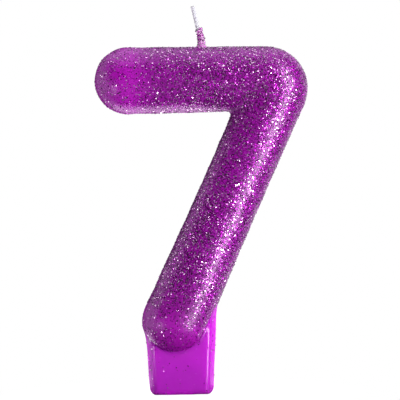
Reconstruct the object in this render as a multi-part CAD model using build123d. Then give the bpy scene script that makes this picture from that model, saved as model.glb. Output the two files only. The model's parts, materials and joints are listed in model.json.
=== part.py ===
from build123d import *
from math import cos, radians, sin, tan
import os

# Number birthday candle, figure 7.
# Millimetres. +X right, +Y away from the viewer, +Z up. The origin is the middle of the foot's flat bottom.
# The figure is a rounded tube along a bar, a bend and a leaning stem. Its section is an ellipse,
# because the figure is flatter from front to back than it is across.

# ---- Figure ----
BAR_AXIS_HEIGHT = 103.1          # bar axis above the foot's bottom
BAR_END_X = -15.85               # centre of the bar's round left end
BAR_END_RADIUS = 10.55           # bar half height at its left end
BEND_TUBE_RADIUS = 10.1          # half width where the bar and the stem meet
BEND_RADIUS = 3.3                # radius of the tube's centre line round the bend
STEM_LEAN = 24.6                 # degrees from upright, top to the right
STEM_END_X = -1.7                # centre of the stem's round lower end
STEM_END_HEIGHT = 24.1
STEM_END_RADIUS = 10.45          # half width at the round lower end
STEM_WAIST_RADIUS = 9.8          # half width at the slimmest place
STEM_WAIST_HEIGHT = 49.0         # up the stem from the centre of its round end
FIGURE_DEPTH = 16.0              # front to back at the bend
COAT_THICKNESS = 0.3             # lacquer and glitter over the wax

# ---- Foot ----
FOOT_WIDTH = 20.8                # across its bottom
FOOT_DRAFT = 3.0                 # degrees that each side leans out
FOOT_THICKNESS = 6.0
FOOT_SIDE_BEVEL = 2.0            # how far each side runs in from the parting flat to the faces
FOOT_PARTING_FLAT = 0.8          # narrow flat up the middle of each side, where the mould parts
FOOT_EDGE_ROUNDING = 0.8         # between the faces and the bevels
FOOT_CORNER_ROUNDING = 2.3       # the two bottom corners, seen from the front
FOOT_BOTTOM_ROUNDING = 1.4       # the two long bottom edges, seen from the side
TONGUE_PAST_STEM_END = 6.9       # how far the tongue passes the centre of the stem's round end
TONGUE_WALL = 2.0                # wax between the tongue and the left side of the stem
TONGUE_CLEARANCE = 0.03          # gap round the tongue in the figure's pocket

# ---- Wick ----
WICK_DIAMETER = 1.4
WICK_ROOT_X = 8.75               # where the wick leaves the top of the bar
WICK_LEAN = 12.2                 # degrees from upright, tip to the left
WICK_FREE_LENGTH = 13.7          # root to tip
WICK_BURIED_LENGTH = 16.0        # root down to the wick's lower end
BORE_CLEARANCE = 0.03            # round the wick in its bore, and below its end
TIP_EDGE_CHAMFER = 0.15
CRUST_LENGTH = 6.25              # glitter crust up the free wick from its root
CRUST_ROOT_RADIUS = 1.4
CRUST_TOP_RADIUS = 1.15
CRUST_TOP_CHAMFER = 0.2
CRUST_TO_PIVOT = 0.85            # the wick bends this far above the crust
PIVOT_GAP = 0.03                 # between the ball under the tip and the neck of the stub
NECK_LENGTH = 0.55
NECK_RADIUS = 0.4
BEAD_RADIUS = 2.1                # wax bead round the crust's root
BEAD_TOP_RADIUS = 1.5
BEAD_HEIGHT = 1.2

# ---- Stray glitter flakes on the foot ----
FLAKE_WIDTH = 0.4                # across the corners
FLAKE_THICKNESS = 0.05
FACE_FLAKES = 14                 # on the front, and as many on the back
EDGE_FLAKES = 8                  # on each side
FLAKE_MARGIN = 0.6               # from the foot's rounded edges and from the figure
GOLDEN_SHARE = 0.618034          # spreads the flakes without a pattern

# ---- Worked out from the driving dimensions ----
FLATTENING = FIGURE_DEPTH / (2 * BEND_TUBE_RADIUS)
LEAN = radians(STEM_LEAN)
STEM_UP = Vector(sin(LEAN), 0, cos(LEAN))
STEM_OUT = Vector(cos(LEAN), 0, -sin(LEAN))
STEM_END = Vector(STEM_END_X, 0, STEM_END_HEIGHT)
BAR_END = Vector(BAR_END_X, 0, BAR_AXIS_HEIGHT)
BEND_HEIGHT = BAR_AXIS_HEIGHT - BEND_RADIUS
BEND_X = STEM_END_X + (BEND_HEIGHT - STEM_END_HEIGHT) * tan(LEAN) - BEND_RADIUS / cos(LEAN)
BEND = Vector(BEND_X, 0, BEND_HEIGHT)
STEM_LENGTH = (BEND + STEM_OUT * BEND_RADIUS - STEM_END).dot(STEM_UP)

BAR_TAPER = (BAR_END_RADIUS - BEND_TUBE_RADIUS) / (BEND_X - BAR_END_X)
BAR_RADIUS_AT_WICK = BAR_END_RADIUS - (WICK_ROOT_X - BAR_END_X) * BAR_TAPER
WICK_ROOT = Vector(WICK_ROOT_X, 0, BAR_AXIS_HEIGHT + BAR_RADIUS_AT_WICK + COAT_THICKNESS)
WICK_UP = Vector(-sin(radians(WICK_LEAN)), 0, cos(radians(WICK_LEAN)))
WICK_LINE = Location(Plane(WICK_ROOT, x_dir=(0, 1, 0), z_dir=WICK_UP))
WICK_RADIUS = WICK_DIAMETER / 2
PIVOT_AT = CRUST_LENGTH + CRUST_TO_PIVOT
STUB_TOP = PIVOT_AT - WICK_RADIUS - PIVOT_GAP

TONGUE_TOP = STEM_END_HEIGHT + TONGUE_PAST_STEM_END
FOOT_SPREAD = tan(radians(FOOT_DRAFT))
FOOT_SHOWING = STEM_END_HEIGHT - STEM_END_RADIUS - COAT_THICKNESS


def section(radius, grow):
    """The tube's section: an ellipse, radius wide to each side and flatter from front to back."""
    return Ellipse(radius + grow, radius * FLATTENING + grow)


def tube(stations, direction, grow):
    """A tube through sections given as (centre, radius), all square to one direction in the XZ plane."""
    across = Vector(0, 1, 0).cross(direction)
    faces = [Plane(centre, x_dir=across, z_dir=direction) * section(radius, grow) for centre, radius in stations]
    return loft(faces)


def turned(centre, offset, radius, start, turn, grow):
    """The tube's section, offset from an upright Y axis through centre and turned about it.

    start is the direction from the axis to the first section, and the turn goes from +Z towards +X.
    Only the part of the section on the start side of the axis is turned.
    """
    reach = offset + radius + grow
    outer_half = Pos(reach / 2, 0) * Rectangle(reach, 2 * reach)
    outline = (Pos(offset, 0) * section(radius, grow)) & outer_half
    first = Plane(centre, x_dir=start, z_dir=start.cross(Vector(0, 1, 0)))
    return revolve(first * outline, Axis(centre, (0, 1, 0)), turn)


def figure(grow=0.0):
    """The whole figure 7 as one solid, with every outside face moved out by grow."""
    bar = tube(
        [(BAR_END, BAR_END_RADIUS), (Vector(BEND_X, 0, BAR_AXIS_HEIGHT), BEND_TUBE_RADIUS)],
        Vector(1, 0, 0),
        grow,
    )
    stem = tube(
        [
            (STEM_END, STEM_END_RADIUS),
            (STEM_END + STEM_UP * STEM_WAIST_HEIGHT, STEM_WAIST_RADIUS),
            (STEM_END + STEM_UP * STEM_LENGTH, BEND_TUBE_RADIUS),
        ],
        STEM_UP,
        grow,
    )
    left_end = turned(BAR_END, 0, BAR_END_RADIUS, Vector(0, 0, -1), 180, grow)
    lower_end = turned(STEM_END, 0, STEM_END_RADIUS, STEM_OUT, 180, grow)
    bend = turned(BEND, BEND_RADIUS, BEND_TUBE_RADIUS, Vector(0, 0, 1), 90 + STEM_LEAN, grow)
    return bar + stem + left_end + lower_end + bend


def foot_section(height, grow):
    """The foot's level section at a height: its sides are bevelled and meet in the narrow parting flat."""
    half_width = FOOT_WIDTH / 2 + FOOT_SPREAD * height + grow
    half_depth = FOOT_THICKNESS / 2 + grow
    half_flat = FOOT_PARTING_FLAT / 2
    right = [
        (half_width - FOOT_SIDE_BEVEL, -half_depth),
        (half_width, -half_flat),
        (half_width, half_flat),
        (half_width - FOOT_SIDE_BEVEL, half_depth),
    ]
    left = [(-x, y) for x, y in reversed(right)]
    outline = make_face(Polyline(*right, *left, close=True))
    face_corners = [corner for corner in outline.vertices() if abs(corner.Y) > 2 * half_flat]
    return Plane.XY.offset(height) * fillet(face_corners, FOOT_EDGE_ROUNDING)


def foot_outline(grow):
    """The foot seen from the front: it widens upwards and its bottom corners are round.

    The tongue's top left corner follows the stem's lean, so that it stays inside the wax.
    """
    half_bottom = FOOT_WIDTH / 2 - FOOT_SPREAD * grow + grow
    half_top = FOOT_WIDTH / 2 + FOOT_SPREAD * (TONGUE_TOP + grow) + grow
    outline = make_face(
        Polyline(
            (-half_bottom, -grow),
            (half_bottom, -grow),
            (half_top, TONGUE_TOP + grow),
            (-half_top, TONGUE_TOP + grow),
            close=True,
        )
    )
    outline = fillet(outline.vertices().sort_by(Axis.Y)[:2], FOOT_CORNER_ROUNDING)
    left_of_stem = Pos(-STEM_END_RADIUS + TONGUE_WALL - grow, 0) * Rectangle(
        TONGUE_TOP, 3 * TONGUE_TOP, align=(Align.MAX, Align.CENTER)
    )
    return outline - Pos(STEM_END_X, STEM_END_HEIGHT) * Rot(0, 0, -STEM_LEAN) * left_of_stem


def bottom_edge_waste(side, grow):
    """What is cut away to round the foot's bottom edge, at its back for side 1 and at its front for side -1."""
    rounding = FOOT_BOTTOM_ROUNDING
    half_depth = FOOT_THICKNESS / 2 + grow
    square = Pos(side * (half_depth - rounding / 2), rounding / 2 - grow) * Rectangle(rounding, rounding)
    kept = Pos(side * (half_depth - rounding), rounding - grow) * Circle(rounding)
    return extrude(Plane.YZ * (square - kept), FOOT_WIDTH, both=True)


def foot_plate(grow=0.0):
    """The foot with its tongue, with every face moved out by grow."""
    top = TONGUE_TOP + grow
    body = loft([foot_section(-grow, grow), foot_section(top, grow)], ruled=True)
    body = body - bottom_edge_waste(1, grow) - bottom_edge_waste(-1, grow)
    return body & extrude(Plane.XZ * foot_outline(grow), FOOT_THICKNESS, both=True)


def wick_tip():
    """The free end of the wick: a ball at the point where the wick bends, and the strand above it."""
    strand = Pos(0, 0, PIVOT_AT) * Cylinder(
        WICK_RADIUS, WICK_FREE_LENGTH - PIVOT_AT, align=(Align.CENTER, Align.CENTER, Align.MIN)
    )
    strand = chamfer(strand.edges().sort_by(Axis.Z)[-1], TIP_EDGE_CHAMFER)
    return WICK_LINE * (strand + Pos(0, 0, PIVOT_AT) * Sphere(WICK_RADIUS))


def wick_stub():
    """The wick from its lower end in the wax up to the narrowed neck under the bending point."""
    neck_start = STUB_TOP - NECK_LENGTH
    strand = Pos(0, 0, -WICK_BURIED_LENGTH) * Cylinder(
        WICK_RADIUS, WICK_BURIED_LENGTH + neck_start, align=(Align.CENTER, Align.CENTER, Align.MIN)
    )
    neck = Pos(0, 0, neck_start) * Cone(
        WICK_RADIUS, NECK_RADIUS, NECK_LENGTH, align=(Align.CENTER, Align.CENTER, Align.MIN)
    )
    return WICK_LINE * (strand + neck)


def wick_bore():
    """The hole for the wick, from just below its lower end out through the coat."""
    depth = WICK_BURIED_LENGTH + BORE_CLEARANCE
    drill = Pos(0, 0, -depth) * Cylinder(
        WICK_RADIUS + BORE_CLEARANCE, depth + CRUST_LENGTH, align=(Align.CENTER, Align.CENTER, Align.MIN)
    )
    return WICK_LINE * drill


def sleeve(root_radius, top_radius, length):
    """A tapered plug on the wick's line. It starts inside the bar, so that it can be cut to the bar's surface."""
    taper = (root_radius - top_radius) / length
    sunk = root_radius
    return WICK_LINE * Pos(0, 0, -sunk) * Cone(
        root_radius + taper * sunk, top_radius, length + sunk, align=(Align.CENTER, Align.CENTER, Align.MIN)
    )


def strand_hole():
    """The wick's own straight strand, as a cutter for what is dipped round it."""
    return WICK_LINE * Pos(0, 0, -2 * BEAD_RADIUS) * Cylinder(
        WICK_RADIUS, 2 * BEAD_RADIUS + WICK_FREE_LENGTH, align=(Align.CENTER, Align.CENTER, Align.MIN)
    )


def flake():
    """One glitter flake, a thin hexagon lying on the local XY plane."""
    return extrude(RegularPolygon(FLAKE_WIDTH / 2, 6), FLAKE_THICKNESS)


def flake_on(place, facing, turn=0.0):
    """A flake lying at a place on a flat face that faces a direction, turned about that direction."""
    across = Vector(0, 1, 0) if abs(facing.X) > abs(facing.Y) else Vector(1, 0, 0)
    return Location(Plane(place, x_dir=across.rotate(Axis((0, 0, 0), facing), turn), z_dir=facing)) * flake()


def face_flakes():
    """Flakes strewn over the flat front and back of the foot, below the figure's round end."""
    half_height = (FOOT_SHOWING - FOOT_BOTTOM_ROUNDING) / 2 - FLAKE_MARGIN
    half_width = FOOT_WIDTH / 2 - FOOT_SIDE_BEVEL - FLAKE_MARGIN
    middle = FOOT_BOTTOM_ROUNDING + FLAKE_MARGIN + half_height
    flakes = []
    for number in range(FACE_FLAKES):
        across = half_width * (2 * (number + 0.5) / FACE_FLAKES - 1)
        up = half_height * (2 * (number * GOLDEN_SHARE % 1) - 1)
        turn = 360 * (number * GOLDEN_SHARE * GOLDEN_SHARE % 1)
        for side in (-1, 1):
            place = Vector(-side * across, side * FOOT_THICKNESS / 2, middle - side * up)
            flakes.append(flake_on(place, Vector(0, side, 0), turn))
    return flakes


def edge_flakes():
    """Flakes up the parting flats on the two sides of the foot."""
    start = FOOT_CORNER_ROUNDING + FLAKE_MARGIN
    step = (FOOT_SHOWING - start) / EDGE_FLAKES
    half_depth = (FOOT_PARTING_FLAT - FLAKE_WIDTH) / 2
    flakes = []
    for number in range(EDGE_FLAKES):
        height = start + number * step
        depth = half_depth * (2 * (number * GOLDEN_SHARE % 1) - 1)
        half_width = FOOT_WIDTH / 2 + height * FOOT_SPREAD
        for side in (-1, 1):
            place = Vector(side * half_width, side * depth, height)
            flakes.append(flake_on(place, Vector(side, 0, -FOOT_SPREAD)))
    return flakes


def build():
    """All the sub-parts, as a dictionary of node name to shape."""
    wax = figure()
    coated = figure(COAT_THICKNESS)
    pocket = foot_plate(TONGUE_CLEARANCE)
    bore = wick_bore()
    crust = sleeve(CRUST_ROOT_RADIUS, CRUST_TOP_RADIUS, CRUST_LENGTH)
    crust = chamfer(crust.edges().sort_by(Axis.Z)[-1], CRUST_TOP_CHAMFER)
    bead = sleeve(BEAD_RADIUS, BEAD_TOP_RADIUS, BEAD_HEIGHT)
    return {
        "numeral_wax": wax - pocket - bore,
        "foot_tab": foot_plate(),
        "numeral_glitter_coat": coated - wax - pocket - bore,
        "wick_stub": wick_stub(),
        "wick_tip": wick_tip(),
        "wick_glitter_crust": crust - coated - strand_hole(),
        "wick_seal_bead": bead - coated - crust,
        "foot_glitter_flakes": Compound(children=face_flakes() + edge_flakes()),
    }


if __name__ == "__main__":
    os.makedirs("parts", exist_ok=True)
    for name, shape in build().items():
        export_step(shape, f"parts/{name}.step")
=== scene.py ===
import json
import math
from itertools import product

import bpy
import numpy as np
from bpy.props import FloatProperty, FloatVectorProperty, IntProperty, PointerProperty
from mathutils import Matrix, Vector


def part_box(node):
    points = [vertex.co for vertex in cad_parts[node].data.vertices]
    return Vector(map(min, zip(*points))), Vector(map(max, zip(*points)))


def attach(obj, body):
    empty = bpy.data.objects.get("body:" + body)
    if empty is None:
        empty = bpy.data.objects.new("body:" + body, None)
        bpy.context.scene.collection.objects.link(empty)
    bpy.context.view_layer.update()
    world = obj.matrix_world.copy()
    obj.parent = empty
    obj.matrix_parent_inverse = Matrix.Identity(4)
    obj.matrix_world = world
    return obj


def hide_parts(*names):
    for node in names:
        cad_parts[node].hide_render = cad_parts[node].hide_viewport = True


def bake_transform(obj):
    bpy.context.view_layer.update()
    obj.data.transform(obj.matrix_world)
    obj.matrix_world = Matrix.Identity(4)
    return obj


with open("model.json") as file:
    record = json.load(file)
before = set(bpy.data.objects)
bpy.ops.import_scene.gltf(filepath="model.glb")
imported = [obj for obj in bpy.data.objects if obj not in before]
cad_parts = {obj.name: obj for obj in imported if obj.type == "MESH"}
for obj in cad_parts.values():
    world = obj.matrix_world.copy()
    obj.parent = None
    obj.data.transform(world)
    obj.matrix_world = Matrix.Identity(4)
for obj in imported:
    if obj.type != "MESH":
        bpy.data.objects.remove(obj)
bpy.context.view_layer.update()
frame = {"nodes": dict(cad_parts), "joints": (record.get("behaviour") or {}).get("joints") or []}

bl_info = {
    "name": "Number Candle",
    "version": (1, 0, 0),
    "blender": (4, 5, 0),
    "location": "View3D > Sidebar > Candle",
    "description": "Builds a glitter wax number candle round its CAD frame",
    "category": "Object",
}

# The figure is built front-on in the XZ plane: +X right, +Z up, its front faces -Y. Lengths are metres.
MM = 0.001
COAT = "numeral_glitter_coat"
CANDLE = "candle"

# Glitter set in the surface. Cover is the share of the surface under it.
FULL_COVER = 0.85              # where it is densest
THIN_COVER = 0.2               # below this, the wax has its bare colour, painted brighter as a glow of light shining through the thinly glittered wax
BARE_TO_FULL = 0.2             # from there to the wax's colour under dense glitter
CRUST_COVER = 0.55             # on the crust and the bead
SPARSEST = 0.25                # share of the full glitter that is left on the two round ends
END_SHARE = {"bar": 0.2, "stem": 0.3}                # share at each round end's centre, before that limit
END_TO_FULL = {"bar": 30 * MM, "stem": 20 * MM}      # length over which it grows by one
STEM_GLITTER_BELOW = 12 * MM   # the stem's shares hold from this far below the bend's middle
BAR_MARGIN = 0.5 * MM          # a flake belongs to the bar within this distance of it

# The foot
CORE_DEPTH = 0.35 * MM         # from the figure's outside in to the core that the foot's wax clings to
FOOT_INSIDE_STEM = 2 * MM      # how far the foot's top stays inside the stem's left side

# The wick, its crust and its bead
WICK_START = -9 * MM           # lower end of the visible strand, along the wick from its hinge
BRAID_RINGS = 240              # rings of points along the strand
BRAID_SIDES = 56               # points round the strand
RAGGED = 0.12 * MM             # height of the three waves in the strand's cut end
FRAYED = 0.08 * MM             # height of the random unevenness in it
CRUST_CELL = 0.11 * MM         # mesh cell of the crust and the bead
CRUST_ROUNDING = 0.35 * MM     # rounding of the crust's upper edge
CRUST_BURIED = 1.5 * MM        # how far the crust goes down into the bar
CRUST_SPARE = 0.2 * MM         # room for lumps between the plain crust's end and the CAD crust's end
BEAD_SINK = 0.2 * MM           # the bead's fillet clings to a surface this far inside the bar
BEAD_FILLET = 1.5 * MM         # width of that fillet
BEAD_ROUNDING = 0.3 * MM       # rounding of the bead's rim
BEAD_LUMPS = 0.1 * MM          # height of the lumps in it

# Size and seed of the unevenness in each surface
LUMP_SIZE = {"figure": 5 * MM, "foot": 4 * MM, "crust": 0.55 * MM, "bead": 0.5 * MM}
LUMP_SEED = {"figure": 7, "foot": 23, "crust": 31, "bead": 37}
DRAW_SEED = {"figure": 100, "foot": 200, "wick": 300, "crust": 400}      # for flakes and frayed ends

# The stage
MIDDLE = (7.1 * MM, 0, 63.6 * MM)      # the middle of the candle, which the camera faces
CAMERA_DISTANCE = 0.7
CAMERA_ROLL = math.radians(1.05)
FLOOR_RADIUS = 0.06
FLOOR_SIDES = 96
FLOOR_DROP = 0.02 * MM         # gap between the floor and the foot
FLOOR_LIT_FROM = 4 * MM        # the floor is dark in front of this place and glows behind it
FLAG_BEHIND = 0.6              # the dark flag's directions point at least this much backwards
FLAG_LEFT = -0.02              # and this much to the left
FLAG_DARKNESS = 0.94
GLOW_TURN = -0.19              # turns the bright side of the world to the left
# How bright the world is by direction, from straight forwards (0) to straight backwards (1)
WORLD_GLOW = (
    (0.0, (0.05, 0.05, 0.055, 1)),
    (0.46, (0.06, 0.06, 0.065, 1)),
    (0.53, (0.8, 0.8, 0.82, 1)),
    (0.8, (1, 1, 1, 1)),
)
# Each lamp's name, its place and its aim from the middle, its width and height, and its power
LAMPS = (
    ("key_strip", (0.34, -0.37, 0.0), (0, 0, 0), (0.11, 0.85), 5.3),
    ("top_box", (0, -0.09, 0.44), (0, -0.09, 0), (0.6, 0.47), 0.95),
    ("fill_box", (-0.36, -0.31, -0.15), (0, 0, 0), (0.12, 0.12), 0.35),
    ("front_box", (0, -0.5, -0.2), (0, 0, 0), (0.9, 0.4), 0.2),
    ("side_box", (-0.5, -0.12, 0.02), (0, 0, 0), (0.15, 0.4), 0.3),
    ("under_box", (-0.02, 0.22, -0.36), (0, 0, 0), (0.5, 0.3), 1.3),
)


def length(name, description, millimetres):
    """A length property in metres, with its default given in millimetres."""
    default = millimetres * MM
    return FloatProperty(
        name=name, description=description, default=default, min=0, unit="LENGTH", precision=5
    )


def colour(name, description, default):
    """A colour property."""
    return FloatVectorProperty(
        name=name, description=description, default=default, size=4, min=0, max=1, subtype="COLOR"
    )


# ---- sizes and colours a user would change


class FigureSizes(bpy.types.PropertyGroup):
    """Sizes of the figure 7, at the outside of its glitter coat."""

    bar_end_radius: length("Bar end", "Half height of the bar at its round left end", 10.85)
    bend_tube_radius: length("Tube at bend", "Half width of the figure where bar and stem meet", 10.4)
    bend_radius: length("Bend", "Radius of the tube's centre line round the bend", 3.3)
    stem_lean: FloatProperty(
        name="Stem lean",
        description="Lean of the stem from upright",
        default=math.radians(24.6),
        unit="ROTATION",
    )
    stem_end_radius: length("Stem end", "Half width of the stem at its round lower end", 10.75)
    stem_waist_radius: length("Stem waist", "Half width of the stem at its slimmest place", 10.1)
    stem_waist_height: length("Waist height", "Distance of the waist up the stem", 49)
    valley_rounding: length("Valley rounding", "Width of the rounded crease inside the bend", 1.9)
    ripple: length("Ripple", "Height of the unevenness left by the mould", 0.07)
    seam_height: length("Seam height", "Height of the mould's parting seam", 0.1)
    seam_width: length("Seam width", "Width of the mould's parting seam", 0.45)
    cell: length("Mesh cell", "Size of the mesh's faces", 0.55)


class FootSizes(bpy.types.PropertyGroup):
    """Sizes of the foot that is pushed into the cake."""

    draft: FloatProperty(
        name="Draft", description="Lean of each side of the foot", default=math.radians(3), unit="ROTATION"
    )
    side_bevel: length("Side bevel", "How far each bevelled side runs in to the faces", 2)
    parting_flat: length("Parting flat", "Width of the flat up the middle of each side", 0.8)
    edge_rounding: length("Edge rounding", "Rounding between the faces and the bevels", 0.8)
    corner_rounding: length("Corner rounding", "Rounding of the two bottom corners", 2.3)
    bottom_rounding: length("Bottom rounding", "Rounding of the long bottom edges", 1.4)
    meniscus: length("Meniscus", "Width of the wax fillet round the figure's lower end", 1.6)
    ripple: length("Ripple", "Height of the waves in the foot's faces", 0.05)
    cell: length("Mesh cell", "Size of the mesh's faces", 0.33)


class WickSizes(bpy.types.PropertyGroup):
    """Sizes of the wick, its glitter crust and its wax bead."""

    radius: length("Radius", "Half the thickness of the braided wick", 0.7)
    lean: FloatProperty(
        name="Lean", description="Lean from upright", default=math.radians(12.2), unit="ROTATION"
    )
    braid_pitch: length("Braid pitch", "Length of wick in which a yarn goes once round", 5.2)
    braid_depth: FloatProperty(name="Braid depth", description="Depth of the braid as a share", default=0.2)
    yarns: IntProperty(name="Yarns", description="Yarns that turn each way round the wick", default=4)
    crust_root_radius: length("Crust root", "Crust radius where it leaves the bar", 1.2)
    crust_top_radius: length("Crust top", "Crust radius at its upper end", 0.95)
    crust_drift: length("Crust drift", "How far the crust's top lies beside the wick", 0.35)
    crust_lumps: length("Crust lumps", "Height of the lumps in the crust", 0.2)
    bead_radius: length("Bead radius", "Radius of the wax bead at the wick's root", 2.1)
    bend_length: length("Bending length", "Length of wick that bends between its two rigid parts", 2.4)


class GlitterSizes(bpy.types.PropertyGroup):
    """Sizes and numbers of the glitter flakes."""

    flake_width: length("Flake width", "Width of a flake across its corners", 0.42)
    flake_thickness: length("Flake thickness", "Thickness of a flake", 0.03)
    figure_flakes: IntProperty(
        name="Figure flakes", description="Most flakes on each third of the figure", default=9000
    )
    crust_flakes: IntProperty(name="Crust flakes", description="Flakes on the wick's crust", default=420)
    foot_flakes: IntProperty(name="Foot flakes", description="Stray flakes on the foot", default=170)
    tilt: FloatProperty(name="Tilt", description="How far most flakes lean", default=0.12)
    loose_tilt: FloatProperty(name="Loose tilt", description="How far the loose flakes lean", default=0.45)
    loose_share: FloatProperty(name="Loose share", description="Share of loose flakes", default=0.3)


class CandleColours(bpy.types.PropertyGroup):
    """Colours of the candle."""

    figure: colour("Figure wax", "Dyed wax under the glitter", (0.29, 0.001, 0.31, 1))
    # Brighter than the figure wax: a painted glow of light shining through the wax where the glitter is
    # thin.
    bare_painted_glow: colour("Bare figure wax", "Figure wax where the glitter is thin", (0.36, 0.001, 0.38, 1))
    foot: colour("Foot wax", "Dyed wax of the foot", (0.58, 0.018, 0.65, 1))
    flake_dark: colour("Dark flake", "Darkest glitter", (0.11, 0.001, 0.12, 1))
    flake_mid: colour("Middle flake", "Most of the glitter", (0.30, 0.004, 0.32, 1))
    flake_bright: colour("Bright flake", "Palest glitter", (0.95, 0.62, 0.93, 1))
    crust: colour("Crust wax", "Waxed glitter round the wick", (0.85, 0.30, 0.80, 1))
    cotton: colour("Cotton", "Bare waxed wick", (0.54, 0.53, 0.58, 1))
    floor: colour("Floor", "Pale floor", (0.92, 0.92, 0.93, 1))


# ---- shapes as distances from a surface


def smooth_union(first, second, width):
    """The smaller of two distances, rounded where they differ by less than width."""
    overlap = np.clip(1 - np.abs(first - second) / width, 0, 1)
    return np.minimum(first, second) - overlap**2 * width / 4


def rounded_corner(first, second, radius):
    """Distance from the rounded outer corner between two faces, from the distance to each face."""
    first, second = first + radius, second + radius
    outside = np.hypot(np.maximum(first, 0), np.maximum(second, 0))
    return outside + np.minimum(np.maximum(first, second), 0) - radius


def lumpy(points, part):
    """A smooth unevenness between about -1 and 1, with lumps of the part's own size."""
    draw = np.random.default_rng(LUMP_SEED[part])
    count = 14
    directions = draw.normal(size=(count, 3))
    directions /= np.linalg.norm(directions, axis=1)[:, None]
    turns = directions * draw.uniform(0.7, 1.6, (count, 1)) * math.tau / (2 * LUMP_SIZE[part])
    return np.sin(points @ turns.T + draw.uniform(0, math.tau, count)).sum(axis=1) / math.sqrt(count)


def slope_of(distance, points, step=0.02 * MM):
    """Direction in which a distance grows fastest at each point."""
    slopes = [distance(points + ahead) - distance(points - ahead) for ahead in np.eye(3) * step]
    return np.stack(slopes, axis=1) / (2 * step)


def unit(vectors):
    """The same directions with length one."""
    return vectors / np.linalg.norm(vectors, axis=-1, keepdims=True)


def settle(distance, points, reach, rounds=5):
    """Moves points onto the surface, at most reach in each round."""
    for _ in range(rounds):
        slope = slope_of(distance, points)
        step = (distance(points) / np.maximum((slope**2).sum(axis=1), 1e-9))[:, None] * slope
        size = np.linalg.norm(step, axis=1, keepdims=True)
        points = points - step * np.minimum(1, reach / np.maximum(size, 1e-12))
    return points


def skin(distance, low, high, cell):
    """Points and quads of a closed mesh over the surface where distance is zero, inside a box."""
    counts = np.ceil(np.subtract(high, low) / cell).astype(int) + 1
    steps = [low[axis] + cell * np.arange(counts[axis]) for axis in range(3)]
    grid = np.stack(np.meshgrid(*steps, indexing="ij"), axis=-1)
    inside = distance(grid.reshape(-1, 3)).reshape(counts) < 0
    filled = sum(
        inside[x : x + counts[0] - 1, y : y + counts[1] - 1, z : z + counts[2] - 1].astype(int)
        for x, y, z in product((0, 1), repeat=3)
    )
    crossing = (filled > 0) & (filled < 8)
    number = np.full(crossing.shape, -1)
    number[crossing] = np.arange(crossing.sum())
    points = grid[:-1, :-1, :-1][crossing] + cell / 2
    quads = []
    for axis in range(3):
        sides = np.moveaxis(inside, axis, 0)
        cells = np.moveaxis(number, axis, 0)
        near, far = sides[:-1, 1:-1, 1:-1], sides[1:, 1:-1, 1:-1]
        layer, row, column = np.nonzero(near != far)
        corners = ((0, 0), (1, 0), (1, 1), (0, 1))
        quad = np.stack([cells[layer, row + down, column + along] for down, along in corners], axis=1)
        outwards = near[layer, row, column] ^ (axis == 1)
        quad[~outwards] = quad[~outwards][:, ::-1]
        quads.append(quad)
    quads = np.concatenate(quads)
    points = settle(distance, points, cell)
    for _ in range(4):
        points = settle(distance, evened(points, quads), cell, rounds=2)
    return points, quads


def evened(points, quads):
    """Points moved half way to the middle of their neighbours."""
    total = np.zeros_like(points)
    count = np.zeros(len(points))
    for side in range(4):
        here, there = quads[:, side], quads[:, (side + 1) % 4]
        np.add.at(total, here, points[there])
        np.add.at(total, there, points[here])
        np.add.at(count, here, 1)
        np.add.at(count, there, 1)
    return (points + total / count[:, None]) / 2


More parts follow.
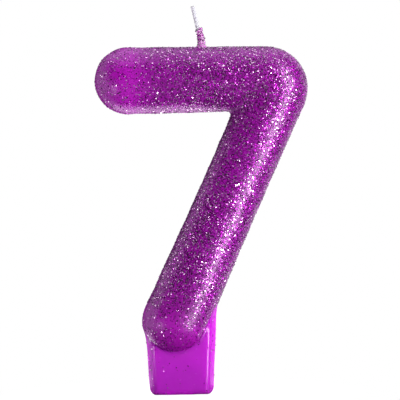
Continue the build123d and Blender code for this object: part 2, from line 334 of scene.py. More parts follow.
class Figure:
    """The figure 7, placed from the frame: a rounded tube along a bar, a bend and a leaning stem."""

    def __init__(self, sizes):
        low, high = (np.array(corner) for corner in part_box(COAT))
        lean = sizes.stem_lean
        self.sizes = sizes
        self.low, self.high = low, high
        self.flattening = (high[1] - low[1]) / (2 * sizes.bar_end_radius)
        self.bar_start = np.array([low[0] + sizes.bar_end_radius, 0, high[2] - sizes.bar_end_radius])
        bend_x = high[0] - sizes.bend_radius - sizes.bend_tube_radius
        self.bend = np.array([bend_x, 0, self.bar_start[2] - sizes.bend_radius])
        self.bar_stop = self.bend + (0, 0, sizes.bend_radius)
        self.stem_up = np.array([math.sin(lean), 0, math.cos(lean)])
        self.stem_out = np.array([math.cos(lean), 0, -math.sin(lean)])
        self.stem_stop = self.bend + self.stem_out * sizes.bend_radius
        foot_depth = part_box("foot_tab")[1][1] / (self.flattening * sizes.stem_end_radius)
        end_height = low[2] + sizes.stem_end_radius * math.sqrt(1 - foot_depth**2)
        self.stem_length = (self.stem_stop[2] - end_height) / self.stem_up[2]
        self.stem_start = self.stem_stop - self.stem_up * self.stem_length
        stations = [0, sizes.stem_waist_height, self.stem_length]
        radii = [sizes.stem_end_radius, sizes.stem_waist_radius, sizes.bend_tube_radius]
        self.stem_profile = np.polyfit(stations, radii, 2)

    def bar_distance(self, round_points):
        """Distance outside the bar, with a ball at each end."""
        span = self.bar_stop[0] - self.bar_start[0]
        along = np.clip(round_points[:, 0] - self.bar_start[0], 0, span)
        middle = self.bar_start + np.outer(along, (1, 0, 0))
        radius = np.interp(along, (0, span), (self.sizes.bar_end_radius, self.sizes.bend_tube_radius))
        return np.linalg.norm(round_points - middle, axis=1) - radius

    def stem_distance(self, round_points):
        """Distance outside the stem, with a ball at each end."""
        along = np.clip((round_points - self.stem_start) @ self.stem_up, 0, self.stem_length)
        middle = self.stem_start + np.outer(along, self.stem_up)
        return np.linalg.norm(round_points - middle, axis=1) - np.polyval(self.stem_profile, along)

    def bend_distance(self, round_points):
        """Distance outside the outer side of the bend, and far away beside its sector."""
        from_axis = round_points - self.bend
        angle = np.arctan2(from_axis[:, 2], from_axis[:, 0])
        beside = (angle > math.pi / 2) | (angle < -self.sizes.stem_lean)
        across = np.hypot(from_axis[:, 0], from_axis[:, 2]) - self.sizes.bend_radius
        distance = np.hypot(across, from_axis[:, 1]) - self.sizes.bend_tube_radius
        return np.where(beside, 1.0, distance)

    def smooth(self, points):
        """Distance outside the figure without its unevenness."""
        round_points = points / (1, self.flattening, 1)
        arms = smooth_union(
            self.bar_distance(round_points), self.stem_distance(round_points), self.sizes.valley_rounding
        )
        return np.minimum(arms, self.bend_distance(round_points))

    def glitter_density(self, points):
        """Share of the full glitter at each place: it is thinner towards the two round ends."""
        along_bar = points[:, 0] - self.bar_start[0]
        along_stem = (points - self.stem_start) @ self.stem_up
        on_bar = END_SHARE["bar"] + along_bar / END_TO_FULL["bar"]
        on_stem = END_SHARE["stem"] + along_stem / END_TO_FULL["stem"]
        below_bar = points[:, 2] < self.bend[2] - STEM_GLITTER_BELOW
        return np.clip(np.where(below_bar, on_stem, on_bar), SPARSEST, 1)

    def distance(self, points):
        """Distance outside the figure, with its ripple and its parting seam."""
        seam = self.sizes.seam_height * np.exp(-((points[:, 1] / self.sizes.seam_width) ** 2))
        return self.smooth(points) - seam - self.sizes.ripple * lumpy(points, "figure")


class Foot:
    """The foot, placed from the frame: a flat plate that widens upwards, with the figure's end in it."""

    def __init__(self, sizes, figure):
        low, high = (np.array(corner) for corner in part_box("foot_tab"))
        self.sizes = sizes
        self.figure = figure
        self.low, self.high = low, high
        self.spread = math.tan(sizes.draft)
        self.half_bottom = high[0] - high[2] * self.spread
        self.top = high[2]

    def plate_distance(self, points):
        """Distance outside the plate, with its bevelled sides and rounded edges."""
        sizes = self.sizes
        across, depth = np.abs(points[:, 0]), np.abs(points[:, 1])
        below = self.low[2] - points[:, 2]
        side = (across - self.half_bottom + below * self.spread) * math.cos(sizes.draft)
        inwards = self.high[1] - sizes.parting_flat / 2
        slant = math.hypot(inwards, sizes.side_bevel)
        bevel = (side * inwards + (depth - sizes.parting_flat / 2) * sizes.side_bevel) / slant
        round_edges = rounded_corner(bevel, depth - self.high[1], sizes.edge_rounding)
        round_bottom = rounded_corner(depth - self.high[1], below, sizes.bottom_rounding)
        round_corners = rounded_corner(side, below, sizes.corner_rounding)
        return np.maximum(np.maximum(round_edges, round_bottom), round_corners)

    def distance(self, points):
        """Distance outside the plate, joined by a small fillet of wax to the core of the figure's end."""
        core = self.figure.smooth(points) + CORE_DEPTH
        joined = smooth_union(self.plate_distance(points), core, self.sizes.meniscus)
        above = points[:, 2] - self.top
        across = (points - self.figure.stem_start) @ self.figure.stem_out
        beside = FOOT_INSIDE_STEM - self.figure.sizes.stem_end_radius - across
        waved = joined - self.sizes.ripple * lumpy(points, "foot")
        return np.maximum(waved, np.maximum(above, beside))


class Wick:
    """The wick's line, placed from the frame's hinge and boxes."""

    def __init__(self, sizes, figure):
        self.sizes = sizes
        self.figure = figure
        self.up = np.array([-math.sin(sizes.lean), 0, math.cos(sizes.lean)])
        self.side = np.array([math.cos(sizes.lean), 0, math.sin(sizes.lean)])
        self.pivot = np.array(frame["joints"][0]["pos_m"], float)
        self.root = self.pivot - self.up * (self.pivot[2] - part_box(COAT)[1][2]) / self.up[2]
        self.top = (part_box("wick_tip")[1][2] - self.pivot[2]) / self.up[2]
        crust_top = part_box("wick_glitter_crust")[1][2]
        self.crust_length = (crust_top - self.root[2]) / self.up[2] - CRUST_SPARE

    def crust_distance(self, points):
        """Distance outside the lumpy crust."""
        along = (points - self.root) @ self.up
        share = np.clip(along / self.crust_length, 0, 1)
        line = self.root + np.outer(along, self.up) + np.outer(share * self.sizes.crust_drift, self.side)
        off_line = np.linalg.norm(points - line, axis=1)
        root, top = self.sizes.crust_root_radius, self.sizes.crust_top_radius
        radius = root + share * (top - root)
        plain = rounded_corner(off_line - radius, along - self.crust_length, CRUST_ROUNDING)
        buried = -along - CRUST_BURIED
        return np.maximum(plain - self.sizes.crust_lumps * lumpy(points, "crust"), buried)

    def bead_distance(self, points):
        """Distance outside the bead, a fillet of wax between the crust and the bar."""
        along = (points - self.root) @ self.up
        off_line = np.linalg.norm(points - self.root - np.outer(along, self.up), axis=1)
        crust = off_line - self.sizes.crust_root_radius
        joined = smooth_union(crust, self.figure.smooth(points) + BEAD_SINK, BEAD_FILLET)
        reach = np.linalg.norm(points - self.root, axis=1) - self.sizes.bead_radius
        return rounded_corner(joined, reach, BEAD_ROUNDING) - BEAD_LUMPS * lumpy(points, "bead")


# ---- meshes


def mesh_piece(name, points, faces, material, smooth=True):
    """A mesh object in the scene with one material."""
    mesh = bpy.data.meshes.new(name)
    mesh.from_pydata(points.tolist(), [], faces if isinstance(faces, list) else faces.tolist())
    mesh.polygons.foreach_set("use_smooth", [smooth] * len(mesh.polygons))
    mesh.materials.append(material)
    mesh.update()
    piece = bpy.data.objects.new(name, mesh)
    bpy.context.scene.collection.objects.link(piece)
    return piece


def set_cover(piece, values):
    """Stores on each vertex how much of the surface the fine glitter covers."""
    piece.data.attributes.new("cover", "FLOAT", "POINT").data.foreach_set("value", values)


def strewn(distance, points, cell, count, keep, draw):
    """Random points on a surface, kept with the chance that keep gives at each point."""
    start = points[draw.integers(len(points), size=3 * count)]
    start = start + draw.uniform(-cell, cell, start.shape)
    settled = settle(distance, start, cell)
    chosen = settled[draw.uniform(size=len(settled)) < keep(settled)]
    return chosen[:count]


def flake_piece(name, distance, centres, glitter, material, draw, tilt_share=1.0):
    """Thin six-sided flakes that lie in a surface at the given centres, each a closed plate."""
    count = len(centres)
    outwards = unit(slope_of(distance, centres))
    loose = np.where(draw.uniform(size=(count, 1)) < glitter.loose_share, glitter.loose_tilt, glitter.tilt)
    facing = unit(outwards + loose * tilt_share * draw.normal(size=(count, 3)))
    across = unit(np.cross(facing, draw.normal(size=(count, 3))))
    beside = np.cross(facing, across)
    radius = glitter.flake_width / 2 * draw.uniform(0.6, 1.12, (count, 1, 1))
    corner = math.tau * np.arange(6) / 6
    cosine, sine = np.cos(corner)[None, :, None], np.sin(corner)[None, :, None]
    ring = radius * (cosine * across[:, None, :] + sine * beside[:, None, :])
    half = glitter.flake_thickness / 2 * facing[:, None, :]
    lift = outwards[:, None, :] * (glitter.flake_thickness + 0.12 * radius)
    middle = centres[:, None, :] + lift
    points = np.concatenate([middle + ring - half, middle + ring + half], axis=1).reshape(-1, 3)
    caps = [[5, 4, 3, 2, 1, 0], [6, 7, 8, 9, 10, 11]]
    walls = [[edge, (edge + 1) % 6, (edge + 1) % 6 + 6, edge + 6] for edge in range(6)]
    starts = 12 * np.arange(count)
    faces = []
    for face in caps + walls:
        faces += (starts[:, None] + np.array(face)).tolist()
    return mesh_piece(name, points, faces, material, smooth=False)


def braid(wick):
    """Points of the braided strand, ring by ring from its lower end, then the middle of each end."""
    sizes = wick.sizes
    heights = np.linspace(WICK_START, wick.top, BRAID_RINGS)
    angles = math.tau * np.arange(BRAID_SIDES) / BRAID_SIDES
    height, angle = np.meshgrid(heights, angles, indexing="ij")
    turn = math.tau * height / sizes.braid_pitch
    rightwards = np.abs(np.cos(sizes.yarns / 2 * (angle - turn)))
    leftwards = np.abs(np.cos(sizes.yarns / 2 * (angle + turn)))
    weave = np.maximum(rightwards, leftwards) ** 1.5
    radius = sizes.radius * (1 - sizes.braid_depth * (1 - weave))
    backwards = np.array([0.0, 1.0, 0.0])
    spoke = np.cos(angle)[..., None] * wick.side + np.sin(angle)[..., None] * backwards
    draw = np.random.default_rng(DRAW_SEED["wick"])
    ragged = RAGGED * np.sin(3 * angles + 1) + FRAYED * draw.normal(size=BRAID_SIDES)
    at_top = np.arange(BRAID_RINGS)[:, None] >= BRAID_RINGS - 2
    lift = np.where(at_top, ragged[None, :], 0)
    points = wick.pivot + (height + lift)[..., None] * wick.up + radius[..., None] * spoke
    bottom = wick.pivot + WICK_START * wick.up
    top = wick.pivot + (wick.top - 0.1 * MM) * wick.up
    return np.concatenate([points.reshape(-1, 3), [bottom, top]])


def tube_faces(rings, sides):
    """Faces of a closed tube: quads between its rings, and a fan round the middle of each end."""
    faces = []
    for ring in range(rings - 1):
        for step in range(sides):
            beside = (step + 1) % sides
            first, second = ring * sides, (ring + 1) * sides
            faces.append([first + step, first + beside, second + beside, second + step])
    last = (rings - 1) * sides
    for step in range(sides):
        beside = (step + 1) % sides
        faces.append([rings * sides, beside, step])
        faces.append([rings * sides + 1, last + step, last + beside])
    return faces


# ---- shader helpers


def new_material(name):
    """A new material with its nodes, its links and its Principled shader."""
    material = bpy.data.materials.new(name)
    material.use_nodes = True
    tree = material.node_tree
    return material, tree.nodes, tree.links, tree.nodes["Principled BSDF"]


def ramp_node(nodes, stops):
    """A colour ramp with stops given as (position, colour)."""
    ramp = nodes.new("ShaderNodeValToRGB")
    elements = ramp.color_ramp.elements
    while len(elements) < len(stops):
        elements.new(0.5)
    for element, (position, value) in zip(elements, stops):
        element.position = position
        element.color = value
    return ramp


def maths(nodes, links, operation, first, second):
    """A math node; each input is a socket or a number."""
    node = nodes.new("ShaderNodeMath")
    node.operation = operation
    for socket, value in zip(node.inputs, (first, second)):
        if isinstance(value, bpy.types.NodeSocket):
            links.new(value, socket)
        else:
            socket.default_value = value
    return node.outputs[0]


def mixed(nodes, links, share, first, second):
    """A colour mix node; each input is a socket or a plain value."""
    node = nodes.new("ShaderNodeMix")
    node.data_type = "RGBA"
    for name, value in (("Factor_Float", share), ("A_Color", first), ("B_Color", second)):
        socket = next(s for s in node.inputs if s.identifier == name)
        if isinstance(value, bpy.types.NodeSocket):
            links.new(value, socket)
        else:
            socket.default_value = value
    return next(s for s in node.outputs if s.identifier == "Result_Color")


def flecks_group():
    """Node group: fine glitter set in a surface, one random tilt and shade for each fleck."""
    name = "Glitter flecks"
    if name in bpy.data.node_groups:
        return bpy.data.node_groups[name]
    group = bpy.data.node_groups.new(name, "ShaderNodeTree")
    face = group.interface
    for socket, value in (("Fleck size", 0.3 * MM), ("Cover", 0.5), ("Tilt", 0.6)):
        face.new_socket(socket, in_out="INPUT", socket_type="NodeSocketFloat").default_value = value
    for socket, kind in (("Mask", "Float"), ("Shade", "Float"), ("Normal", "Vector")):
        face.new_socket(socket, in_out="OUTPUT", socket_type="NodeSocket" + kind)
    nodes, links = group.nodes, group.links
    given = nodes.new("NodeGroupInput")
    result = nodes.new("NodeGroupOutput")
    place = nodes.new("ShaderNodeTexCoord")
    cells = nodes.new("ShaderNodeTexVoronoi")
    cells.inputs["Randomness"].default_value = 1.0
    links.new(place.outputs["Object"], cells.inputs["Vector"])
    links.new(maths(nodes, links, "DIVIDE", 1.0, given.outputs["Fleck size"]), cells.inputs["Scale"])
    parts = nodes.new("ShaderNodeSeparateColor")
    links.new(cells.outputs["Color"], parts.inputs["Color"])
    present = maths(nodes, links, "LESS_THAN", parts.outputs["Red"], given.outputs["Cover"])
    round_fleck = maths(nodes, links, "LESS_THAN", cells.outputs["Distance"], 0.46)
    links.new(maths(nodes, links, "MULTIPLY", present, round_fleck), result.inputs["Mask"])
    links.new(parts.outputs["Green"], result.inputs["Shade"])
    centred = nodes.new("ShaderNodeVectorMath")
    centred.operation = "SUBTRACT"
    centred.inputs[1].default_value = (0.5, 0.5, 0.5)
    links.new(cells.outputs["Color"], centred.inputs[0])
    scaled = nodes.new("ShaderNodeVectorMath")
    scaled.operation = "SCALE"
    links.new(centred.outputs[0], scaled.inputs[0])
    links.new(given.outputs["Tilt"], scaled.inputs["Scale"])
    surface = nodes.new("ShaderNodeNewGeometry")
    tilted = nodes.new("ShaderNodeVectorMath")
    links.new(surface.outputs["Normal"], tilted.inputs[0])
    links.new(scaled.outputs[0], tilted.inputs[1])
    whole = nodes.new("ShaderNodeVectorMath")
    whole.operation = "NORMALIZE"
    links.new(tilted.outputs[0], whole.inputs[0])
    links.new(whole.outputs[0], result.inputs["Normal"])
    return group


def flecks_node(nodes, size, tilt):
    """The glitter flecks group, placed in a material with its own values."""
    node = nodes.new("ShaderNodeGroup")
    node.node_tree = flecks_group()
    node.inputs["Fleck size"].default_value = size
    node.inputs["Tilt"].default_value = tilt
    return node


def cloud_node(nodes, links, size, detail=3.0):
    """A soft noise over the object, with clouds of about the given size."""
    place = nodes.new("ShaderNodeTexCoord")
    cloud = nodes.new("ShaderNodeTexNoise")
    cloud.inputs["Scale"].default_value = 1 / size
    cloud.inputs["Detail"].default_value = detail
    links.new(place.outputs["Object"], cloud.inputs["Vector"])
    return cloud


def bump_node(nodes, links, height, distance, strength):
    """A bump node over a height socket."""
    bump = nodes.new("ShaderNodeBump")
    bump.inputs["Distance"].default_value = distance
    bump.inputs["Strength"].default_value = strength
    links.new(height, bump.inputs["Height"])
    return bump.outputs["Normal"]


def waxy(shader, weight, reach):
    """Sets the constant values that every dyed wax shares."""
    shader.inputs["Subsurface Weight"].default_value = weight
    shader.inputs["Subsurface Radius"].default_value = (1.0, 0.25, 0.95)
    shader.inputs["Subsurface Scale"].default_value = reach
    shader.inputs["IOR"].default_value = 1.45


# ---- materials


def glittered_wax(name, ground, bare_painted_glow, colours, fleck_size, roughness):
    """Dyed wax under a lacquer full of fine glitter, as dense at each place as the mesh's cover value says.
    The wax is ground's colour under dense glitter and the brighter bare colour where there is hardly any: a
    painted glow of light shining through the thin wax."""
    material, nodes, links, shader = new_material(name)
    flecks = flecks_node(nodes, fleck_size, 0.75)
    cover = nodes.new("ShaderNodeAttribute")
    cover.attribute_name = "cover"
    links.new(cover.outputs["Fac"], flecks.inputs["Cover"])
    cloud = cloud_node(nodes, links, 6 * MM)
    dark = [channel * 0.72 for channel in ground[:3]] + [1]
    clouded = mixed(nodes, links, cloud.outputs["Fac"], dark, ground)
    past_thin = maths(nodes, links, "SUBTRACT", cover.outputs["Fac"], THIN_COVER)
    thick = maths(nodes, links, "MULTIPLY", past_thin, 1 / BARE_TO_FULL)
    thick.node.use_clamp = True
    # Where the glitter is thin the wax turns to the brighter bare colour: a painted glow of light through
    # the thin wax.
    shaded = mixed(nodes, links, thick, bare_painted_glow, clouded)
    shades = ramp_node(
        nodes,
        [
            (0.0, colours.flake_dark),
            (0.45, colours.flake_mid),
            (0.82, colours.flake_mid),
            (1.0, colours.flake_bright),
        ],
    )
    links.new(flecks.outputs["Shade"], shades.inputs["Fac"])
    final = mixed(nodes, links, flecks.outputs["Mask"], shaded, shades.outputs["Color"])
    links.new(final, shader.inputs["Base Color"])
    links.new(maths(nodes, links, "MULTIPLY", flecks.outputs["Mask"], 0.9), shader.inputs["Metallic"])
    lumps = cloud_node(nodes, links, 0.45 * MM, detail=4.0)
    grain = bump_node(nodes, links, lumps.outputs["Fac"], 0.12 * MM, 0.5)
    normal = mixed(nodes, links, flecks.outputs["Mask"], grain, flecks.outputs["Normal"])
    links.new(normal, shader.inputs["Normal"])
    shader.inputs["Roughness"].default_value = roughness
    waxy(shader, 0.6, 4.0 * MM)
    shader.inputs["Coat Weight"].default_value = 0.12
    shader.inputs["Coat Roughness"].default_value = 0.2
    return material


def smooth_wax(name, ground):
    """Glossy dyed wax with faint clouds and a little unevenness in its gloss."""
    material, nodes, links, shader = new_material(name)
    cloud = cloud_node(nodes, links, 5 * MM)
    dark = [channel * 0.8 for channel in ground[:3]] + [1]
    links.new(mixed(nodes, links, cloud.outputs["Fac"], dark, ground), shader.inputs["Base Color"])
    fine = cloud_node(nodes, links, 1.2 * MM, detail=5.0)
    rough = maths(nodes, links, "MULTIPLY", fine.outputs["Fac"], 0.3)
    links.new(maths(nodes, links, "ADD", rough, 0.06), shader.inputs["Roughness"])
    links.new(bump_node(nodes, links, fine.outputs["Fac"], 0.06 * MM, 0.25), shader.inputs["Normal"])
    waxy(shader, 1.0, 9 * MM)
    return material


def film(name, colours, dark_share, bright_share):
    """Metallised glitter film. Each flake has its own shade."""
    material, nodes, links, shader = new_material(name)
    place = nodes.new("ShaderNodeNewGeometry")
    shades = ramp_node(
        nodes,
        [
            (0.0, colours.flake_dark),
            (dark_share, colours.flake_dark),
            (dark_share + 0.12, colours.flake_mid),
            (1 - bright_share - 0.1, colours.flake_mid),
            (1 - bright_share, colours.flake_bright),
            (1.0, colours.flake_bright),
        ],
    )
    links.new(place.outputs["Random Per Island"], shades.inputs["Fac"])
    links.new(shades.outputs["Color"], shader.inputs["Base Color"])
    scuffs = cloud_node(nodes, links, 0.2 * MM)
    rough = maths(nodes, links, "MULTIPLY", scuffs.outputs["Fac"], 0.3)
    links.new(maths(nodes, links, "ADD", rough, 0.1), shader.inputs["Roughness"])
    shader.inputs["Metallic"].default_value = 0.95
    shader.inputs["Coat Weight"].default_value = 1.0
    shader.inputs["Coat Roughness"].default_value = 0.1
    return material


def cotton(name, ground):
    """Waxed cotton yarn: pale, soft and slightly fibrous."""
    material, nodes, links, shader = new_material(name)
    cloud = cloud_node(nodes, links, 0.8 * MM)
    shade = [channel * 0.86 for channel in ground[:3]] + [1]
    links.new(mixed(nodes, links, cloud.outputs["Fac"], shade, ground), shader.inputs["Base Color"])
    fibres = cloud_node(nodes, links, 0.09 * MM, detail=4.0)
    links.new(bump_node(nodes, links, fibres.outputs["Fac"], 0.04 * MM, 0.6), shader.inputs["Normal"])
    rough = maths(nodes, links, "MULTIPLY", cloud.outputs["Fac"], 0.3)
    links.new(maths(nodes, links, "ADD", rough, 0.45), shader.inputs["Roughness"])
    waxy(shader, 1.0, 2.5 * MM)
    shader.inputs["Subsurface Radius"].default_value = (1.0, 0.95, 1.0)
    return material


# ---- operators


class CANDLE_OT_figure(bpy.types.Operator):
    """Builds the figure 7 with its glitter lacquer"""

    bl_idname = "candle.figure"
    bl_label = "Build the figure"

    def execute(self, context):
        scene = context.scene
        figure = Figure(scene.candle_figure)
        cell = scene.candle_figure.cell
        margin = 2 * cell
        points, quads = skin(figure.distance, figure.low - margin, figure.high + margin, cell)
        colours = scene.candle_colours
        material = glittered_wax(
            "glitter_lacquer", list(colours.figure), list(colours.bare_painted_glow), colours, 0.34 * MM, 0.34
        )
        piece = mesh_piece("figure_glitter_coat", points, quads, material)
        set_cover(piece, FULL_COVER * figure.glitter_density(points))
        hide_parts(COAT)
        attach(piece, CANDLE)
        wax = smooth_wax("figure_wax", list(colours.figure))
        frame["nodes"]["numeral_wax"].data.materials.clear()
        frame["nodes"]["numeral_wax"].data.materials.append(wax)
        return {"FINISHED"}


class CANDLE_OT_figure_glitter(bpy.types.Operator):
    """Strews glitter flakes over the bar, the bend and the stem"""

    bl_idname = "candle.figure_glitter"
    bl_label = "Strew the figure's glitter"

    def execute(self, context):
        scene = context.scene
        figure = Figure(scene.candle_figure)
        foot = Foot(scene.candle_foot, figure)
        glitter = scene.candle_glitter
        material = film("figure_film", scene.candle_colours, 0.3, 0.12)
        coat = scene.objects["figure_glitter_coat"]
        points = np.array([vertex.co for vertex in coat.data.vertices])
        along = (points - figure.stem_start) @ figure.stem_up
        near_bar = figure.bar_distance(points / (1, figure.flattening, 1)) < BAR_MARGIN
        on_bar = near_bar & (points[:, 0] < figure.bend[0])
        thirds = {
            "bar_glitter": on_bar,
            "bend_glitter": (along > figure.stem_length / 2) & ~on_bar,
            "stem_glitter": (along <= figure.stem_length / 2) & ~near_bar,
        }

        def keep(places):
            """Flakes lie as dense as the glitter, and nowhere under the foot's fillet."""
            return figure.glitter_density(places) * (foot.distance(places) > 0.02 * MM)

        for number, (name, chosen) in enumerate(thirds.items()):
            draw = np.random.default_rng(DRAW_SEED["figure"] + number)
            places = strewn(
                figure.distance, points[chosen], scene.candle_figure.cell, glitter.figure_flakes, keep, draw
            )
            piece = flake_piece(name, figure.distance, places, glitter, material, draw)
            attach(piece, CANDLE)
        return {"FINISHED"}


class CANDLE_OT_foot(bpy.types.Operator):
    """Builds the smooth wax foot and its stray flakes"""

    bl_idname = "candle.foot"
    bl_label = "Build the foot"

    def execute(self, context):
        scene = context.scene
        figure = Figure(scene.candle_figure)
        foot = Foot(scene.candle_foot, figure)
        cell = scene.candle_foot.cell
        margin = 3 * MM
        points, quads = skin(foot.distance, foot.low - margin, foot.high + margin, cell)
        material = smooth_wax("foot_wax", list(scene.candle_colours.foot))
        piece = mesh_piece("foot", points, quads, material)
        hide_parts("foot_tab")
        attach(piece, CANDLE)
        draw = np.random.default_rng(DRAW_SEED["foot"])

        def keep(places):
            """Stray flakes lie anywhere that shows, thickest on the two narrow sides."""
            shows = (figure.distance(places) > 0.3 * MM) & (places[:, 2] > 0.3 * MM)
            beside = np.abs(places[:, 1]) < foot.high[1] - 0.6 * MM
            return shows * np.where(beside, 1.0, 0.3)

        glitter = scene.candle_glitter
        places = strewn(foot.distance, points, cell, glitter.foot_flakes, keep, draw)
        strays = film("stray_film", scene.candle_colours, 0.55, 0.12)
        flakes = flake_piece("foot_glitter", foot.distance, places, glitter, strays, draw, 0.4)
        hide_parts("foot_glitter_flakes")
        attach(flakes, CANDLE)
        return {"FINISHED"}


class CANDLE_OT_wick(bpy.types.Operator):
    """Builds the braided wick as one straight strand through its hinge"""

    bl_idname = "candle.wick"
    bl_label = "Build the wick"

    def execute(self, context):
        scene = context.scene
        sizes = scene.candle_wick
        wick = Wick(sizes, Figure(scene.candle_figure))
        points = braid(wick)
        faces = tube_faces(BRAID_RINGS, BRAID_SIDES)
        material = cotton("waxed_cotton", list(scene.candle_colours.cotton))
        piece = mesh_piece("wick_strand", points, faces, material)
        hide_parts("wick_stub", "wick_tip")
        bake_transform(piece)
        return {"FINISHED"}


class CANDLE_OT_crust(bpy.types.Operator):
    """Builds the glitter crust round the wick and the wax bead at its root"""

    bl_idname = "candle.crust"
    bl_label = "Build the wick's crust"

    def execute(self, context):
        scene = context.scene
        colours = scene.candle_colours
        wick = Wick(scene.candle_wick, Figure(scene.candle_figure))
        wax = list(colours.crust)
        material = glittered_wax("crust_wax", wax, wax, colours, 0.3 * MM, 0.4)
        middle = wick.root + wick.up * wick.crust_length / 2
        reach = np.array([3.2 * MM, 2.2 * MM, wick.crust_length / 2 + 2.2 * MM])
        points, quads = skin(wick.crust_distance, middle - reach, middle + reach, CRUST_CELL)
        crust = mesh_piece("wick_crust", points, quads, material)
        set_cover(crust, np.full(len(points), CRUST_COVER))
        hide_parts("wick_glitter_crust")
        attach(crust, CANDLE)
        draw = np.random.default_rng(DRAW_SEED["crust"])
        glitter = scene.candle_glitter

        def keep(places):
            """Flakes lie all over the crust."""
            return np.ones(len(places))

        places = strewn(wick.crust_distance, points, CRUST_CELL, glitter.crust_flakes, keep, draw)
        shiny = film("crust_film", colours, 0.28, 0.45)
        flakes = flake_piece("crust_glitter", wick.crust_distance, places, glitter, shiny, draw, 1.6)
        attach(flakes, CANDLE)
        reach = 3 * MM
        points, quads = skin(wick.bead_distance, wick.root - reach, wick.root + reach, CRUST_CELL)
        bead = mesh_piece("wick_bead", points, quads, material)
        set_cover(bead, np.full(len(points), CRUST_COVER))
        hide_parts("wick_seal_bead")
        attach(bead, CANDLE)
        return {"FINISHED"}


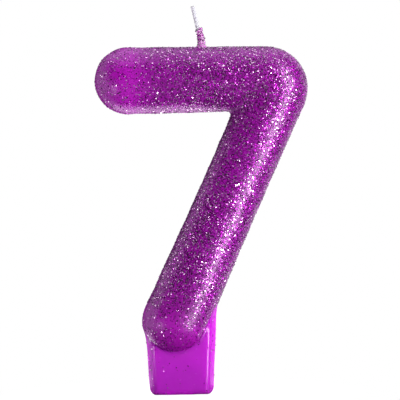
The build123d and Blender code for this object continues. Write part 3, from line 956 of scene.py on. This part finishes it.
class CANDLE_OT_stage(bpy.types.Operator):
    """Builds the pale floor, the studio light and the camera"""

    bl_idname = "candle.stage"
    bl_label = "Build the stage"

    def execute(self, context):
        scene = context.scene
        self.floor(scene)
        self.sky(scene)
        middle = Vector(MIDDLE)
        for name, place, aim, size, power in LAMPS:
            self.lamp(scene, name, middle + Vector(place), middle + Vector(aim), size, power)
        self.camera(scene, middle)
        scene.view_settings.view_transform = "Standard"
        return {"FINISHED"}

    def floor(self, scene):
        """A round floor under the foot, dark in front of it and glowing white behind it. To the camera
        it is washed out to nearly white."""
        turns = math.tau * np.arange(FLOOR_SIDES) / FLOOR_SIDES
        rim = FLOOR_RADIUS * np.stack([np.cos(turns), np.sin(turns), 0 * turns], axis=1)
        material, nodes, links, shader = new_material("floor_paper")
        grain = cloud_node(nodes, links, 4 * MM)
        pale = list(scene.candle_colours.floor)
        paper = mixed(nodes, links, grain.outputs["Fac"], pale, [1, 1, 1, 1])
        place = nodes.new("ShaderNodeTexCoord")
        axes = nodes.new("ShaderNodeSeparateXYZ")
        links.new(place.outputs["Object"], axes.inputs[0])
        behind = maths(nodes, links, "GREATER_THAN", axes.outputs["Y"], FLOOR_LIT_FROM)
        base = mixed(nodes, links, behind, (0.12, 0.12, 0.13, 1), paper)
        links.new(base, shader.inputs["Base Color"])
        glow = mixed(nodes, links, behind, (0, 0, 0, 1), (1, 1, 1, 1))
        links.new(glow, shader.inputs["Emission Color"])
        shader.inputs["Roughness"].default_value = 0.8
        shader.inputs["Emission Strength"].default_value = 2.0
        washed = nodes.new("ShaderNodeEmission")
        washed.inputs["Strength"].default_value = 1.2
        path = nodes.new("ShaderNodeLightPath")
        choice = nodes.new("ShaderNodeMixShader")
        seen = maths(nodes, links, "MULTIPLY", path.outputs["Is Camera Ray"], 0.85)
        links.new(seen, choice.inputs["Fac"])
        links.new(shader.outputs["BSDF"], choice.inputs[1])
        links.new(washed.outputs["Emission"], choice.inputs[2])
        links.new(choice.outputs["Shader"], nodes["Material Output"].inputs["Surface"])
        piece = mesh_piece("floor", rim - (0, 0, FLOOR_DROP), [list(range(FLOOR_SIDES))], material)

    def sky(self, scene):
        """White to the camera. For light and reflections it is bright behind the candle and dim in front,
        with a dark flag behind it on the left that draws the edge."""
        world = bpy.data.worlds.new("studio")
        scene.world = world
        world.use_nodes = True
        nodes, links = world.node_tree.nodes, world.node_tree.links
        place = nodes.new("ShaderNodeTexCoord")
        axes = nodes.new("ShaderNodeSeparateXYZ")
        links.new(place.outputs["Generated"], axes.inputs[0])
        turned = maths(nodes, links, "MULTIPLY", axes.outputs["X"], GLOW_TURN)
        behind = maths(nodes, links, "ADD", axes.outputs["Y"], turned)
        glow = ramp_node(nodes, WORLD_GLOW)
        half = maths(nodes, links, "MULTIPLY", behind, 0.5)
        links.new(maths(nodes, links, "ADD", half, 0.5), glow.inputs["Fac"])
        far = maths(nodes, links, "GREATER_THAN", axes.outputs["Y"], FLAG_BEHIND)
        left = maths(nodes, links, "LESS_THAN", axes.outputs["X"], FLAG_LEFT)
        corner = maths(nodes, links, "MULTIPLY", far, left)
        flag = maths(nodes, links, "MULTIPLY", corner, FLAG_DARKNESS)
        light = nodes["Background"]
        links.new(mixed(nodes, links, flag, glow.outputs["Color"], (0, 0, 0, 1)), light.inputs["Color"])
        white = nodes.new("ShaderNodeBackground")
        white.inputs["Color"].default_value = (1, 1, 1, 1)
        path = nodes.new("ShaderNodeLightPath")
        choice = nodes.new("ShaderNodeMixShader")
        links.new(path.outputs["Is Camera Ray"], choice.inputs["Fac"])
        links.new(light.outputs[0], choice.inputs[1])
        links.new(white.outputs[0], choice.inputs[2])
        links.new(choice.outputs[0], nodes["World Output"].inputs["Surface"])

    def lamp(self, scene, name, place, target, size, power):
        """A soft box that faces its target."""
        data = bpy.data.lights.new(name, "AREA")
        data.shape = "RECTANGLE"
        data.size, data.size_y = size
        data.energy = power
        lamp = bpy.data.objects.new(name, data)
        lamp.location = place
        lamp.rotation_euler = (target - place).to_track_quat("-Z", "Y").to_euler()
        scene.collection.objects.link(lamp)

    def camera(self, scene, middle):
        """A long lens straight in front, rolled a little."""
        data = bpy.data.cameras.new("camera")
        data.lens = 192
        data.sensor_width = 36
        data.clip_start = 0.01
        camera = bpy.data.objects.new("camera", data)
        camera.location = middle - Vector((0, CAMERA_DISTANCE, 0))
        camera.rotation_euler = (math.radians(90), CAMERA_ROLL, 0)
        scene.collection.objects.link(camera)
        scene.camera = camera


class CANDLE_PT_panel(bpy.types.Panel):
    """Sizes, colours and build steps of the candle"""

    bl_idname = "CANDLE_PT_panel"
    bl_label = "Number Candle"
    bl_space_type = "VIEW_3D"
    bl_region_type = "UI"
    bl_category = "Candle"

    def draw(self, context):
        layout = self.layout
        for operator in OPERATORS:
            layout.operator(operator.bl_idname)
        for name, group in GROUPS.items():
            box = layout.box()
            box.label(text=group.__doc__)
            for value in group.__annotations__:
                box.prop(getattr(context.scene, name), value)


OPERATORS = (
    CANDLE_OT_figure,
    CANDLE_OT_figure_glitter,
    CANDLE_OT_foot,
    CANDLE_OT_wick,
    CANDLE_OT_crust,
    CANDLE_OT_stage,
)
GROUPS = {
    "candle_figure": FigureSizes,
    "candle_foot": FootSizes,
    "candle_wick": WickSizes,
    "candle_glitter": GlitterSizes,
    "candle_colours": CandleColours,
}


def register():
    """Registers every class and attaches the settings to the scene."""
    for group in GROUPS.values():
        bpy.utils.register_class(group)
    for operator in OPERATORS:
        bpy.utils.register_class(operator)
    bpy.utils.register_class(CANDLE_PT_panel)
    for name, group in GROUPS.items():
        setattr(bpy.types.Scene, name, PointerProperty(type=group))


def unregister():
    """Takes the settings and classes away again."""
    for name in GROUPS:
        delattr(bpy.types.Scene, name)
    bpy.utils.unregister_class(CANDLE_PT_panel)
    for kind in (*OPERATORS, *GROUPS.values()):
        bpy.utils.unregister_class(kind)


def main():
    """Builds the whole scene."""
    register()
    bpy.ops.candle.figure()
    bpy.ops.candle.figure_glitter()
    bpy.ops.candle.foot()
    bpy.ops.candle.wick()
    bpy.ops.candle.crust()
    bpy.ops.candle.stage()


if __name__ == "__main__":
    main()
